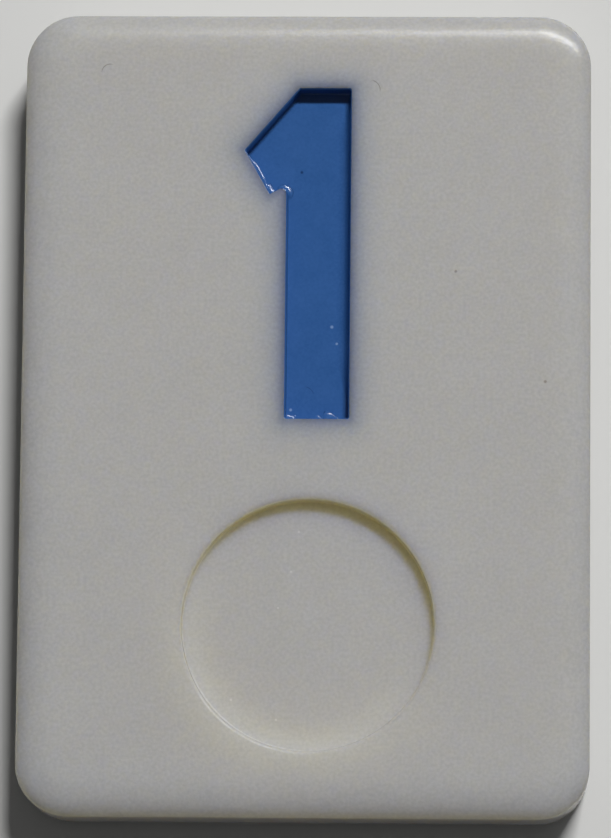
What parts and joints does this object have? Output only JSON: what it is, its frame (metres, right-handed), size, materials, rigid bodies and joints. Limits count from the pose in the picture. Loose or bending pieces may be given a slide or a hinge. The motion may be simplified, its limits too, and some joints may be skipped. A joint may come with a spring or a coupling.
{
  "type": "rummy tile",
  "caption": "Ivory resin rummy tile with rounded edges, an engraved numeral lined with blue paint, and a plain round thumb recess below it.",
  "frame": {"origin": "centre of the tile's plain back, which it lies on", "axes": "+Z out of the numbered face, +Y towards the numeral's top, +X towards the numeral's right"},
  "size_m": [0.0266, 0.038, 0.0048],
  "materials": {
    "ivory_resin": "satin moulded ivory resin, faintly translucent, with fine handling wear",
    "blue_paint": "glossy blue enamel paint, flowed into the engraved numeral"
  },
  "bodies": {
    "root": {"tile_body": "ivory_resin", "numeral_paint": "blue_paint"}
  },
  "joints": []
}
